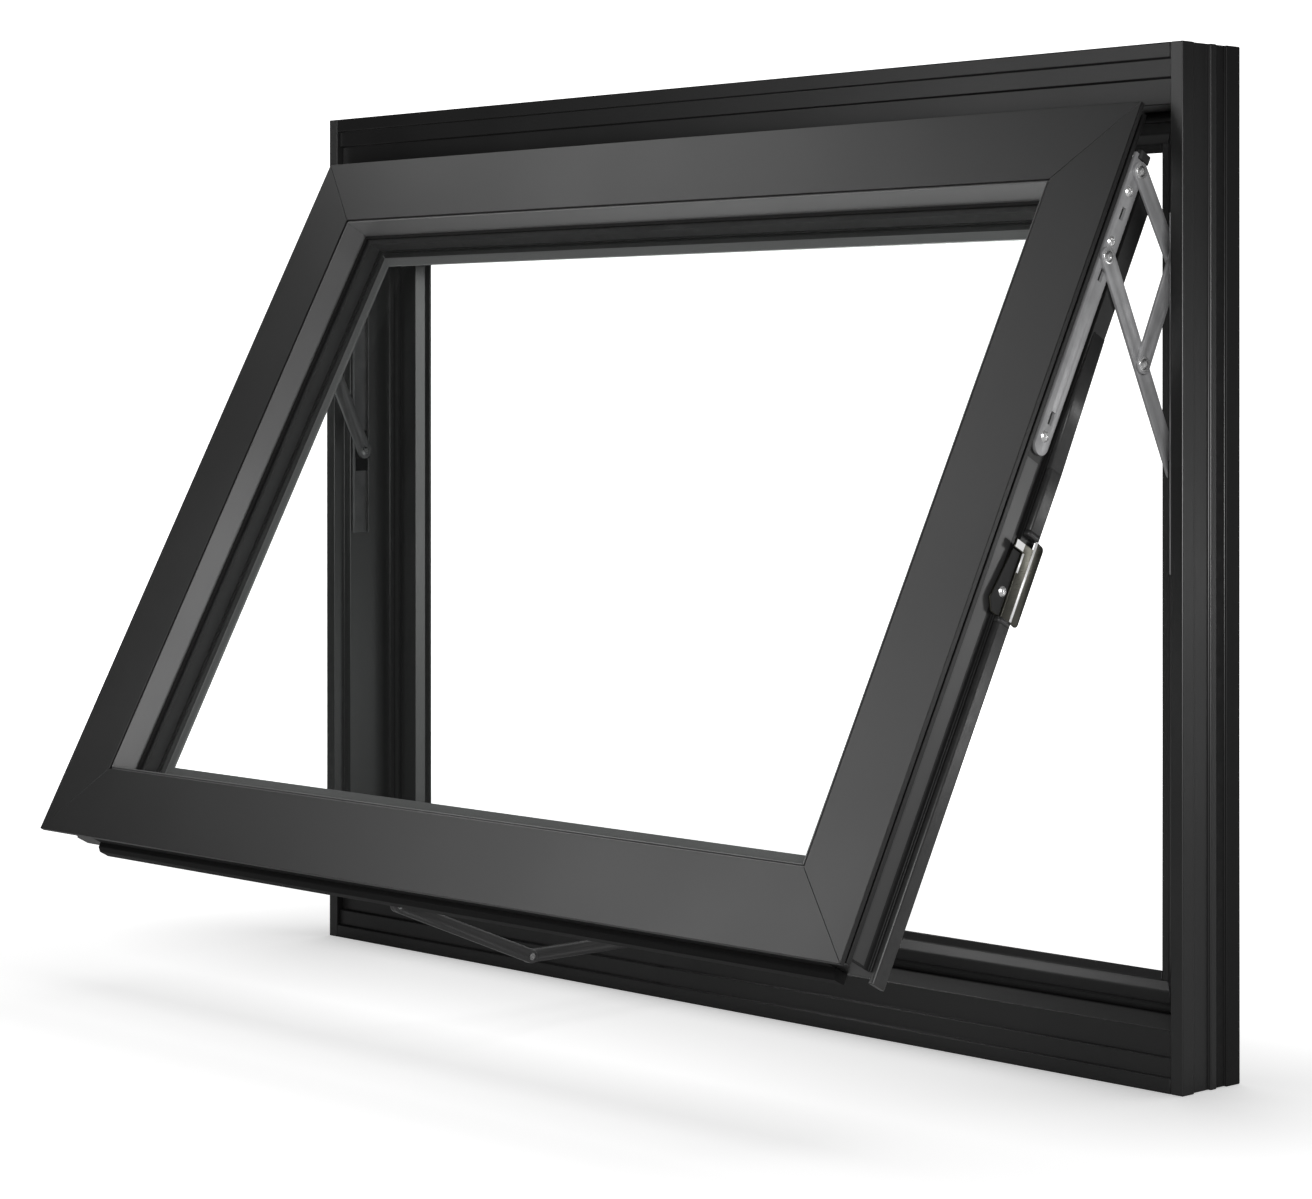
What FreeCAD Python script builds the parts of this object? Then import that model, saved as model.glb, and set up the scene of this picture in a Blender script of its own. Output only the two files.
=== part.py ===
import FreeCAD, Part
import math
import os

Vector = FreeCAD.Vector

# Frame: overall size, and depth from the outside face to the inside face
frame_width = 1180.0
frame_height = 900.0
frame_depth = 80.0
wall = 2.0

# Frame section, across from the outer edge and back from the outside face
flange_face = 13.5
jamb_flange_depth = 14.0
jamb_rebate = 24.0
jamb_web_end = 68.0
rail_step = 30.0
rail_rebate = 53.0
rail_web_end = 72.0
rail_step_depth = 4.0
rail_ledge_depth = 8.0
stop_depth = 10.0
stop_bevel = 8.0
stop_lip = 8.0

# Grooves for fixing lugs round the outside of the frame
groove_depth = 3.0
front_groove_start = 16.0
front_groove_end = 39.0
back_groove_start = 47.0
back_groove_end = 61.0

# Weather seal on the rebate's back wall
seal_width = 8.0
seal_height = 7.0
jamb_seal_place = 40.0
rail_seal_place = 58.0

# Sash: clearance in the rebate, opening angle and section
side_clearance = 4.0
end_clearance = 3.5
opening_angle = 28.3
sash_depth = 60.0
sash_face = 73.0
sash_lip = 3.0
sash_edge = 5.0
sash_channel = 9.0
edge_rib = 4.0
edge_rib_start = 11.0
edge_rib_end = 16.0
back_rib_start = 42.0
bead_seat = 66.0
rear_lip_start = 88.0
rear_lip_bevel = 3.0
rear_lip_end = 100.0
rear_lip_depth = 5.5

# Relief at the back of the sash's top corners: above the stay's bar, and deeper down behind it
relief_width = 52.0
relief_start = 17.0
relief_height = 42.0
back_relief_start = 39.0
back_relief_height = 57.0

# Seal strip along the stile's back rib, below the stay
strip_start = 44.0
strip_inset = 1.0
strip_round = 2.5
strip_gap = 5.0

# Glass unit and its gaskets
pane = 4.0
pane_gap = 14.0
glass_edge = 70.0
spacer_width = 15.0
outer_gasket = 2.5
inner_gasket = 2.0
gasket_edge = 67.5
outer_gasket_end = 80.5
inner_gasket_end = 86.0

# Glazing bead
bead_groove = 2.0
bead_nose = 0.6
bead_nose_width = 1.2
bead_taper = 1.3

# Drip bar under the bottom rail
drip_inset = 45.0
drip_height = 10.0
drip_width = 16.0
drip_chamfer = 4.0

# Friction stays: a track on the frame, a bar on the sash and three arms
stay_plate = 3.0
arm_clearance = 0.3
stay_width = 17.0
stay_pivot_drop = 185.0
stay_line = 27.0
short_arm = 86.0
pivot_spacing = 86.0
half_long_arm = 101.0
pivot_offset = 1.85
top_pivot_place = 51.0
bar_line = 29.5
bar_top = 37.0
bar_bottom = 325.0
bar_cap = 4.0
cap_lap = 4.5
cap_width = 13.5
cap_chamfer = 1.5
pivot_radius = 3.0
pivot_clearance = 0.15
rivet_head = 5.0
rivet_top = 3.0
rivet_dome = 1.6
track_width = 20.0
track_wall = 1.5
track_above = 40.0
track_below = 90.0
shoe_length = 44.0
shoe_clearance = 0.3
bar_slot_width = 5.0
bar_slot_length = 12.0
bar_slot_drop = 34.0

# Lock keepers on the stiles
keeper_top = 392.0
keeper_length = 74.0
keeper_plate = 2.0
keeper_inset = 1.3
keeper_riser = 45.0
keeper_bend = 57.5
keeper_lip = 70.0
keeper_fall = 2.0
keeper_shoulder = 8.0
keeper_base_top = 16.0
keeper_base_near = 35.0
keeper_base_far = 28.0
keeper_chamfer = 10.0
keeper_tongue = 33.0
keeper_round = 4.0

# Folding arm between the sill and the bottom rail
operator_place = -62.0
operator_plate = 4.0
operator_width = 13.0
operator_pin = 3.5
operator_foot = 46.0
operator_foot_width = 24.0
operator_foot_plate = 3.0
operator_clearance = 0.5
elbow_share = 0.517
elbow_drop = 35.0
sill_pivot_depth = 22.0
sill_pivot_height = 7.5
sash_pivot_rise = 3.0
sash_foot_rise = 18.0

# Sizes that follow from those above
front_y = -(front_groove_end + back_groove_start) / 2
rebate_depth = frame_depth - stop_depth
sash_width = frame_width - 2 * (jamb_rebate + side_clearance)
sash_height = frame_height - 2 * (rail_rebate + end_clearance)
rear_lip_front = sash_depth - rear_lip_depth
inner_pane_back = rear_lip_front - inner_gasket
inner_pane_front = inner_pane_back - pane
outer_pane_back = inner_pane_front - pane_gap
outer_pane_front = outer_pane_back - pane
bead_end = outer_pane_front - outer_gasket
channel_x = sash_width / 2 - sash_channel
rebate_x = frame_width / 2 - jamb_rebate
back_rib = sash_channel - stay_plate + arm_clearance
keeper_bottom = keeper_top + keeper_length
sash_pivot_depth = sash_depth + operator_clearance + operator_width / 2


# Where the stay holds the sash: points are (y, z) in the frame
angle = math.radians(opening_angle)
down = (-math.sin(angle), -math.cos(angle))
inward = (math.cos(angle), -math.sin(angle))
bar_angle = angle + math.asin(2 * pivot_offset / pivot_spacing)
fixed_pivot = (front_y + stay_line, frame_height - stay_pivot_drop)
pivot_rise = pivot_spacing * math.cos(bar_angle)
pivot_run = pivot_spacing * math.sin(bar_angle)
reach = pivot_run + math.sqrt(short_arm ** 2 - pivot_rise ** 2)
lower_pivot = (fixed_pivot[0] - reach, fixed_pivot[1])
upper_pivot = (lower_pivot[0] + pivot_run, lower_pivot[1] + pivot_rise)
slide = math.sqrt((2 * half_long_arm) ** 2 - reach ** 2)
shoe_pivot = (fixed_pivot[0], fixed_pivot[1] - slide)
cross_pivot = ((shoe_pivot[0] + lower_pivot[0]) / 2, (shoe_pivot[1] + lower_pivot[1]) / 2)
upper_pivot_depth = bar_line + pivot_offset
lower_pivot_depth = bar_line - pivot_offset
lower_pivot_place = top_pivot_place + math.sqrt(pivot_spacing ** 2 - (2 * pivot_offset) ** 2)
sash_y = upper_pivot[0] - top_pivot_place * down[0] - upper_pivot_depth * inward[0]
sash_z = upper_pivot[1] - top_pivot_place * down[1] - upper_pivot_depth * inward[1]


def solid_of(shape):
    """One clean solid with its faces pointing outwards."""
    body = shape.removeSplitter()
    body = body.Solids[0] if len(body.Solids) == 1 else body
    if body.Volume < 0:
        body.reverse()
    return body


def prism(outline, place, along, chambers=()):
    """Extrude a closed outline of (across, back) points, with chambers left open inside it."""
    wires = []
    for points in (outline,) + tuple(chambers):
        corners = [place(across, back) for across, back in points]
        wires.append(Part.makePolygon(corners + corners[:1]))
    face = Part.makeFace(wires, "Part::FaceMakerBullseye")
    return solid_of(face.extrude(along))


def on_sash(shape):
    """Swing a piece drawn on the closed sash out to the opening angle."""
    placed = shape.copy()
    placed.rotate(Vector(0, 0, 0), Vector(1, 0, 0), -opening_angle)
    placed.translate(Vector(0, sash_y, sash_z))
    return placed


def sash_point(depth, place):
    """The (y, z) place in the frame of a point on the sash."""
    y = sash_y + depth * inward[0] + place * down[0]
    z = sash_z + depth * inward[1] + place * down[1]
    return (y, z)


def mirrored(shape):
    return shape.mirror(Vector(0, 0, 0), Vector(1, 0, 0))


def across_cylinder(centre, radius, start_x, end_x):
    """A round bar along X at a (y, z) point."""
    base = Vector(start_x, centre[0], centre[1])
    return Part.makeCylinder(radius, end_x - start_x, base, Vector(1, 0, 0))


# Frame members

def frame_outline(front_steps, web_end):
    """The outside of a frame section: front steps, rebate, stop and lug grooves."""
    lip_start = web_end + stop_bevel
    lip_depth = rebate_depth + stop_bevel
    stop = [(web_end, rebate_depth), (lip_start, lip_depth),
            (lip_start + stop_lip, lip_depth), (lip_start + stop_lip, frame_depth), (0, frame_depth)]
    grooves = []
    for near, far in ((back_groove_end, back_groove_start), (front_groove_end, front_groove_start)):
        grooves += [(0, near), (groove_depth, near), (groove_depth, far), (0, far)]
    return [(0, 0)] + front_steps + stop + grooves


def frame_chambers(front_chamber, web_end):
    """The hollow in the body of the section and the flat one behind the rebate."""
    outer = groove_depth + wall
    slant = wall * math.sqrt(2)
    front = rebate_depth + wall
    back = frame_depth - wall
    near_bevel = web_end + wall - slant
    far_bevel = web_end + (back - rebate_depth) - slant
    return [front_chamber, [(outer, front), (near_bevel, front), (far_bevel, back), (outer, back)]]


def jamb_outline():
    steps = [(flange_face, 0), (flange_face, jamb_flange_depth),
             (jamb_rebate, jamb_flange_depth), (jamb_rebate, rebate_depth)]
    return frame_outline(steps, jamb_web_end)


def jamb_chambers():
    near = groove_depth + wall
    far = jamb_rebate - wall
    front = jamb_flange_depth + wall
    chamber = [(near, front), (far, front), (far, rebate_depth), (near, rebate_depth)]
    return frame_chambers(chamber, jamb_web_end)


def rail_outline():
    steps = [(flange_face, 0), (flange_face, rail_step_depth), (rail_step, rail_step_depth),
             (rail_step, rail_ledge_depth), (rail_rebate, rail_ledge_depth), (rail_rebate, rebate_depth)]
    return frame_outline(steps, rail_web_end)


def rail_chambers():
    near = groove_depth + wall
    mid = rail_step - wall
    far = rail_rebate - wall
    front = rail_step_depth + wall
    ledge = rail_ledge_depth + wall
    chamber = [(near, front), (mid, front), (mid, ledge), (far, ledge),
               (far, rebate_depth), (near, rebate_depth)]
    return frame_chambers(chamber, rail_web_end)


def right_jamb_place(across, back):
    return Vector(frame_width / 2 - across, front_y + back, 0)


def frame_jamb(chambers):
    """The right jamb, full height."""
    return prism(jamb_outline(), right_jamb_place, Vector(0, 0, frame_height), chambers)


def frame_rail(height_of):
    """A head or sill, coped at both ends to the jambs' section."""
    start = -(frame_width / 2 - flange_face)

    def place(across, back):
        return Vector(start, front_y + back, height_of(across))

    rail = prism(rail_outline(), place, Vector(-2 * start, 0, 0), rail_chambers())
    envelope = frame_jamb(())
    return solid_of(rail.cut([envelope, mirrored(envelope)]))


def frame_members():
    jamb = frame_jamb(jamb_chambers())
    return {
        "frame_right_jamb": jamb,
        "frame_left_jamb": mirrored(jamb),
        "frame_head": frame_rail(lambda across: frame_height - across),
        "frame_sill": frame_rail(lambda across: across),
    }


# Weather seals in the rebate

def seal_bar(start, across, along):
    """A seal with a flat foot on the rebate's back wall and a round nose towards the sash."""
    half = seal_width / 2
    back = front_y + rebate_depth
    shoulder = back - (seal_height - half)

    def at(offset, y):
        return start + across * offset + Vector(0, y, 0)

    edges = [
        Part.LineSegment(at(-half, shoulder), at(-half, back)).toShape(),
        Part.LineSegment(at(-half, back), at(half, back)).toShape(),
        Part.LineSegment(at(half, back), at(half, shoulder)).toShape(),
        Part.Arc(at(half, shoulder), at(0, back - seal_height), at(-half, shoulder)).toShape(),
    ]
    return solid_of(Part.Face(Part.Wire(edges)).extrude(along))


def frame_seals():
    upright = frame_height - 2 * rail_rebate
    side_x = frame_width / 2 - jamb_seal_place
    level_x = side_x - seal_width / 2
    right = seal_bar(Vector(side_x, 0, rail_rebate), Vector(1, 0, 0), Vector(0, 0, upright))
    seals = {"frame_right_seal": right, "frame_left_seal": mirrored(right)}
    heights = {"frame_top_seal": frame_height - rail_seal_place, "frame_bottom_seal": rail_seal_place}
    for name, height in heights.items():
        seals[name] = seal_bar(Vector(-level_x, 0, height), Vector(0, 0, 1), Vector(2 * level_x, 0, 0))
    return seals


# Sash members, drawn closed with the sash's top outside edge along X

def sash_sides():
    """For each side: where a section point goes, the way along, and which way is the other axis."""
    half = sash_width / 2
    return {
        "top_rail": (lambda h, e: Vector(-half, e, -h), Vector(sash_width, 0, 0)),
        "bottom_rail": (lambda h, e: Vector(-half, e, h - sash_height), Vector(sash_width, 0, 0)),
        "left_stile": (lambda h, e: Vector(h - half, e, -sash_height), Vector(0, 0, sash_height)),
        "right_stile": (lambda h, e: Vector(half - h, e, -sash_height), Vector(0, 0, sash_height)),
    }


def mitre_block(side):
    """What the two mitre cuts leave of one side of the sash: a block between the 45 degree planes."""
    half = sash_width / 2
    deep = rear_lip_end + wall
    left, right, top, low = -half, half, 0, -sash_height
    corners = {
        "top_rail": [(left, top), (right, top), (right - deep, top - deep), (left + deep, top - deep)],
        "bottom_rail": [(left, low), (right, low), (right - deep, low + deep), (left + deep, low + deep)],
        "left_stile": [(left, top), (left, low), (left + deep, low + deep), (left + deep, top - deep)],
        "right_stile": [(right, top), (right, low), (right - deep, low + deep), (right - deep, top - deep)],
    }[side]
    points = [Vector(x, -wall, z) for x, z in corners]
    face = Part.Face(Part.makePolygon(points + points[:1]))
    return face.extrude(Vector(0, sash_depth + 2 * wall, 0))


def mitred_set(outline_of, chambers):
    """Four bars of one section, mitred round the sash."""
    bars = {}
    for side, (place, along) in sash_sides().items():
        bar = prism(outline_of(side), place, along, chambers)
        bars[side] = solid_of(bar.common(mitre_block(side)))
    return bars


def sash_outline(side):
    """The sash section: face, bead pocket, rear lip and the stay channel on the outer edge."""
    rear_flat = rear_lip_start + rear_lip_bevel
    rear_face = rear_lip_front + rear_lip_bevel
    back_edge = sash_channel if side == "bottom_rail" else back_rib
    outline = [(0, 0), (sash_face, 0), (sash_face, sash_lip), (bead_seat, sash_lip),
               (bead_seat, rear_lip_front), (rear_lip_start, rear_lip_front), (rear_flat, rear_face),
               (rear_lip_end, rear_face), (rear_lip_end, sash_depth), (back_edge, sash_depth)]
    if back_edge < sash_channel:
        outline += [(back_edge, back_rib_start), (sash_channel, back_rib_start)]
    outline += [(sash_channel, edge_rib_end), (edge_rib, edge_rib_end), (edge_rib, edge_rib_start),
                (sash_channel, edge_rib_start), (sash_channel, sash_edge), (0, sash_edge)]
    return outline


def corner_relief(grown):
    """The blocks taken off the back of both top corners, grown by a wall where one is asked for."""
    width = relief_width + grown
    blocks = []
    for start, height in ((relief_start, relief_height), (back_relief_start, back_relief_height)):
        size = (width, sash_depth - start + grown, height + grown)
        blocks.append(Part.makeBox(*size, Vector(sash_width / 2 - width, start - grown, -height - grown)))
    right = blocks[0].fuse(blocks[1])
    return Part.makeCompound([right, mirrored(right)])


def rib_ends():
    """What the stiles' back ribs lose below the bottom rail's channel."""
    size = (sash_channel, sash_depth - back_rib_start, sash_channel)
    right = Part.makeBox(*size, Vector(channel_x, back_rib_start, -sash_height))
    return Part.makeCompound([right, mirrored(right)])


def sash_members():
    """The hollow sash bars, walled in again where the corner relief opens them."""
    near = sash_channel + wall
    far = bead_seat - wall
    middle = sash_depth / 2
    chambers = [[(near, start), (far, start), (far, end), (near, end)]
                for start, end in ((wall, middle - wall / 2), (middle + wall / 2, sash_depth - wall))]
    full = mitred_set(sash_outline, ())
    members = {}
    for side, bar in mitred_set(sash_outline, chambers).items():
        if side != "bottom_rail":
            lining = full[side].common(corner_relief(wall)).cut(corner_relief(0))
            bar = bar.cut([corner_relief(0), rib_ends()]).fuse(lining)
        members["sash_" + side] = solid_of(bar)
    return members


def strip_length(start, end):
    """A length of the right stile's seal strip, flat on the back rib and rounded on its outer side."""
    size = (back_rib - strip_inset, sash_depth - strip_start, end - start)
    strip = Part.makeBox(*size, Vector(sash_width / 2 - back_rib, strip_start, -end))
    outer_x = sash_width / 2 - strip_inset
    outer_edges = [edge for edge in strip.Edges
                   if abs(edge.CenterOfMass.x - outer_x) < wall / 2 and edge.BoundBox.YLength < wall / 2]
    return solid_of(strip.makeFillet(strip_round, outer_edges))


def stile_strips():
    """Seal strips on both stiles, broken at the lock keeper; the left one stops at the drip bar."""
    upper = strip_length(bar_bottom + strip_gap, keeper_top - strip_gap)
    lower_start = keeper_bottom + strip_gap
    right = Part.makeCompound([upper, strip_length(lower_start, sash_height)])
    left = Part.makeCompound([upper, strip_length(lower_start, sash_height - sash_channel)])
    return {"right_stile_strip": right, "left_stile_strip": mirrored(left)}


def bead_outline(side):
    """The glazing bead: a nose beside the sash face, a tapered reveal and a foot in the pocket."""
    nose = sash_face + bead_groove
    reveal = nose + bead_nose_width
    return [(nose, bead_nose), (reveal, bead_nose), (reveal + bead_taper, bead_end),
            (bead_seat, bead_end), (bead_seat, sash_lip), (nose, sash_lip)]


def glazing_beads():
    near = bead_seat + wall
    far = sash_face + bead_groove + bead_nose_width - wall
    front = sash_lip + wall
    back = bead_end - wall
    chamber = [(near, front), (far, front), (far, back), (near, back)]
    beads = mitred_set(bead_outline, [chamber])
    return {"bead_" + side.split("_")[0]: bar for side, bar in beads.items()}


def sash_sheet(edge, front, thickness):
    """A flat rectangle a given way in from the sash's outer edge."""
    size = (sash_width - 2 * edge, thickness, sash_height - 2 * edge)
    return Part.makeBox(*size, Vector(edge - sash_width / 2, front, edge - sash_height))


def sash_ring(edge, inner_edge, front, thickness):
    return solid_of(sash_sheet(edge, front, thickness).cut(sash_sheet(inner_edge, front, thickness)))


def glass_unit():
    return {
        "outer_pane": sash_sheet(glass_edge, outer_pane_front, pane),
        "inner_pane": sash_sheet(glass_edge, inner_pane_front, pane),
        "pane_spacer": sash_ring(glass_edge, glass_edge + spacer_width, outer_pane_back, pane_gap),
        "outer_gasket": sash_ring(gasket_edge, outer_gasket_end, bead_end, outer_gasket),
        "inner_gasket": sash_ring(gasket_edge, inner_gasket_end, inner_pane_back, inner_gasket),
    }


def drip_bar():
    """The bar under the bottom rail's back edge, with its lower front corner taken off."""
    seat = sash_height - sash_channel
    low = seat + drip_height
    front = sash_depth - drip_width
    start = drip_inset - sash_width / 2
    corners = [(front, seat), (sash_depth, seat), (sash_depth, low), (front + drip_chamfer, low),
               (front, low - drip_chamfer)]
    points = [Vector(start, depth, -place) for depth, place in corners]
    face = Part.Face(Part.makePolygon(points + points[:1]))
    return solid_of(face.extrude(Vector(-2 * start, 0, 0)))


# Friction stays, drawn on the right and mirrored

def stay_layer(number):
    """The near face of a layer of arms, counted out from the sash's channel."""
    return channel_x + number * stay_plate


def link_plate(start, end, width, thickness, near_x, holes, hole_radius):
    """A flat arm with round ends between two (y, z) points, with pivot holes."""
    run = Vector(0, end[0] - start[0], end[1] - start[1])
    side = Vector(0, -run.z, run.y).normalize() * (width / 2)
    tip = Vector(run).normalize() * (width / 2)
    first = Vector(near_x, start[0], start[1])
    last = Vector(near_x, end[0], end[1])
    edges = [
        Part.LineSegment(first + side, last + side).toShape(),
        Part.Arc(last + side, last + tip, last - side).toShape(),
        Part.LineSegment(last - side, first - side).toShape(),
        Part.Arc(first - side, first - tip, first + side).toShape(),
    ]
    plate = Part.Face(Part.Wire(edges)).extrude(Vector(thickness, 0, 0))
    for hole in holes:
        plate = plate.cut(across_cylinder(hole, hole_radius, near_x, near_x + thickness))
    return solid_of(plate)


def stay_arm(start, end, layer, holes):
    return link_plate(start, end, stay_width, stay_plate, stay_layer(layer), holes, pivot_radius)


def stay_sash_bar():
    """The bar screwed into the sash's channel: square at the top, round at the bottom, slotted for screws."""
    near_x = stay_layer(0)
    top_corner = Vector(near_x, bar_line - stay_width / 2, -bar_top)
    round_end = bar_bottom - stay_width / 2
    plate = link_plate((bar_line, -bar_top), (bar_line, -round_end), stay_width, stay_plate, near_x, (), 0)
    plate = plate.cut(Part.makeBox(stay_plate, stay_width, stay_width, top_corner))
    for depth, place in ((upper_pivot_depth, top_pivot_place), (lower_pivot_depth, lower_pivot_place)):
        plate = plate.cut(across_cylinder((depth, -place), pivot_radius, near_x, near_x + stay_plate))
    between = (top_pivot_place + lower_pivot_place) / 2
    for place in (between, lower_pivot_place + stay_width, bar_bottom - bar_slot_drop):
        corner = Vector(near_x, bar_line - bar_slot_width / 2, -place - bar_slot_length / 2)
        plate = plate.cut(Part.makeBox(stay_plate, bar_slot_width, bar_slot_length, corner))
    return on_sash(solid_of(plate))


def stay_bar_cap():
    """The moulded cap lapped over the bar's top end, with its outer edges chamfered."""
    low = -bar_top - cap_lap
    corner = Vector(stay_layer(0), bar_line + stay_width / 2 - cap_width, low)
    cap = Part.makeBox(2 * stay_plate, cap_width, bar_cap + cap_lap, corner)
    outer_edges = [edge for edge in cap.Edges
                   if edge.CenterOfMass.x > stay_layer(1) and edge.CenterOfMass.z > low + cap_chamfer]
    cap = cap.makeChamfer(cap_chamfer, outer_edges)
    return on_sash(solid_of(cap.cut(Part.makeBox(stay_plate, cap_width, cap_lap, corner))))


def stay_track():
    """A channel on the jamb, open towards the sash, with the fixed pivot's block in it."""
    open_x = stay_layer(3)
    low = shoe_pivot[1] - track_below
    height = fixed_pivot[1] + track_above - low
    near_y = fixed_pivot[0] - track_width / 2
    channel = Part.makeBox(rebate_x - open_x, track_width, height, Vector(open_x, near_y, low))
    hollow = Part.makeBox(rebate_x - open_x - track_wall, track_width - 2 * track_wall, height,
                          Vector(open_x, near_y + track_wall, low))
    block = Part.makeBox(rebate_x - open_x, track_width, stay_width,
                         Vector(open_x, near_y, fixed_pivot[1] - stay_width / 2))
    track = channel.cut(hollow).fuse(block)
    return solid_of(track.cut(across_cylinder(fixed_pivot, pivot_radius, open_x, rebate_x - track_wall)))


def stay_shoe():
    """The block that slides in the track, with a square boss that carries the long arm."""
    boss_x = stay_layer(2)
    open_x = stay_layer(3)
    width = track_width - 2 * track_wall - 2 * shoe_clearance
    corner = Vector(open_x, shoe_pivot[0] - width / 2, shoe_pivot[1] - shoe_length / 2)
    block = Part.makeBox(rebate_x - track_wall - open_x, width, shoe_length, corner)
    boss_corner = corner + Vector(boss_x - open_x, 0, (shoe_length - width) / 2)
    shoe = block.fuse(Part.makeBox(open_x - boss_x, width, width, boss_corner))
    return solid_of(shoe.cut(across_cylinder(shoe_pivot, pivot_radius, boss_x, rebate_x - track_wall)))


def rivet(centre, start_x, end_x, dome_out, dome_in):
    """A pin through stacked plates with a low domed head on the sides that are open."""
    radius = pivot_radius - pivot_clearance
    pin = across_cylinder(centre, radius, start_x, end_x)
    for has_dome, face_x, way in ((dome_out, end_x, 1), (dome_in, start_x, -1)):
        if has_dome:
            base = Vector(face_x, centre[0], centre[1])
            pin = pin.fuse(Part.makeCone(rivet_head, rivet_top, rivet_dome, base, Vector(way, 0, 0)))
    return solid_of(pin)


def stay_rivets():
    pins = [
        rivet(upper_pivot, stay_layer(0), stay_layer(2), True, False),
        rivet(lower_pivot, stay_layer(0), stay_layer(2), True, False),
        rivet(cross_pivot, stay_layer(1), stay_layer(3), True, True),
        rivet(fixed_pivot, stay_layer(1), rebate_x - track_wall, False, True),
        rivet(shoe_pivot, stay_layer(1), rebate_x - track_wall, False, True),
    ]
    return Part.makeCompound(pins)


def friction_stays():
    right = {
        "stay_track": stay_track(),
        "stay_sash_bar": stay_sash_bar(),
        "stay_bar_cap": stay_bar_cap(),
        "stay_short_arm": stay_arm(fixed_pivot, upper_pivot, 1, (fixed_pivot, upper_pivot)),
        "stay_long_arm": stay_arm(shoe_pivot, lower_pivot, 1, (shoe_pivot, cross_pivot, lower_pivot)),
        "stay_cross_arm": stay_arm(fixed_pivot, cross_pivot, 2, (fixed_pivot, cross_pivot)),
        "stay_shoe": stay_shoe(),
        "stay_rivets": stay_rivets(),
    }
    pieces = {}
    for name, shape in right.items():
        pieces["right_" + name] = shape
        pieces["left_" + name] = mirrored(shape)
    return pieces


# Lock keepers

def stile_sheet(points, height, thickness):
    """A flat plate on the right stile from (depth, place) points, with its outer face below the edge."""
    near_x = sash_width / 2 - height - thickness
    corners = [Vector(near_x, depth, -place) for depth, place in points]
    return Part.Face(Part.makePolygon(corners + corners[:1])).extrude(Vector(thickness, 0, 0))


def lock_keeper():
    """A cranked plate on the right stile's back rib: low base, raised step with a tongue, and a bent lip."""
    under = keeper_inset + keeper_plate
    inner_riser = keeper_riser + keeper_plate
    section = [(back_rib, keeper_riser), (keeper_inset, keeper_riser), (keeper_inset, keeper_bend),
               (keeper_inset + keeper_fall, keeper_lip), (under + keeper_fall, keeper_lip),
               (under, keeper_bend), (under, inner_riser), (back_rib, inner_riser)]
    half = sash_width / 2
    points = [Vector(half - h, e, -keeper_bottom) for h, e in section]
    crank = Part.Face(Part.makePolygon(points + points[:1])).extrude(Vector(0, 0, keeper_length))
    shoulder = keeper_top + keeper_shoulder
    notch = Part.makeBox(back_rib, keeper_bend - keeper_riser, keeper_shoulder,
                         Vector(half - back_rib, keeper_riser, -shoulder))
    corners = [edge for edge in crank.Edges
               if edge.CenterOfMass.y > keeper_lip - keeper_plate and edge.Length < keeper_length]
    crank = crank.makeFillet(keeper_round, corners).cut(notch)
    base_top = keeper_top + keeper_base_top
    base = stile_sheet([(keeper_riser, base_top), (keeper_base_near, base_top),
                        (keeper_base_far, keeper_bottom - keeper_chamfer),
                        (keeper_base_near, keeper_bottom), (keeper_riser, keeper_bottom)],
                       back_rib - keeper_plate, keeper_plate)
    tongue = stile_sheet([(keeper_riser, shoulder), (keeper_tongue, shoulder),
                          (keeper_tongue, base_top), (keeper_riser, base_top)], keeper_inset, keeper_plate)
    return on_sash(solid_of(crank.fuse([base, tongue])))


# Folding arm between the sill and the bottom rail

sill_pivot = (front_y + sill_pivot_depth, rail_rebate + sill_pivot_height)
sash_pivot = sash_point(sash_pivot_depth, sash_height - sash_pivot_rise)


def elbow_point():
    """Where the two arms meet, hanging below the line between their end pivots."""
    run = (sash_pivot[0] - sill_pivot[0], sash_pivot[1] - sill_pivot[1])
    drop = elbow_drop / math.hypot(run[0], run[1])
    y = sill_pivot[0] + elbow_share * run[0] - drop * run[1]
    z = sill_pivot[1] + elbow_share * run[1] + drop * run[0]
    return (y, z)


def sill_bracket(near_x):
    """A foot on the rebate's floor with an upright ear for the lower arm."""
    half = operator_width / 2
    foot_y = sill_pivot[0] - operator_foot_width / 2
    foot_corner = Vector(near_x + operator_plate - operator_foot, foot_y, rail_rebate)
    foot = Part.makeBox(operator_foot, operator_foot_width, operator_foot_plate, foot_corner)
    ear_corner = Vector(near_x, sill_pivot[0] - half, rail_rebate)
    ear = Part.makeBox(operator_plate, operator_width, sill_pivot_height, ear_corner)
    eye = across_cylinder(sill_pivot, half, near_x, near_x + operator_plate)
    hole = across_cylinder(sill_pivot, operator_pin, near_x, near_x + operator_plate)
    return solid_of(foot.fuse([ear, eye]).cut(hole))


def sash_bracket(near_x):
    """A foot on the back of the bottom rail with an ear that hangs to the upper arm's pivot."""
    low = sash_foot_rise - sash_height
    corner = Vector(near_x, sash_depth, low)
    foot = Part.makeBox(operator_foot, operator_foot_plate, operator_foot_width, corner)
    top = (sash_pivot_depth, low + operator_foot_width / 2)
    pivot = (sash_pivot_depth, sash_pivot_rise - sash_height)
    ear = link_plate(top, pivot, operator_width, operator_plate, near_x, (pivot,), operator_pin)
    return on_sash(solid_of(foot.fuse(ear)))


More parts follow.
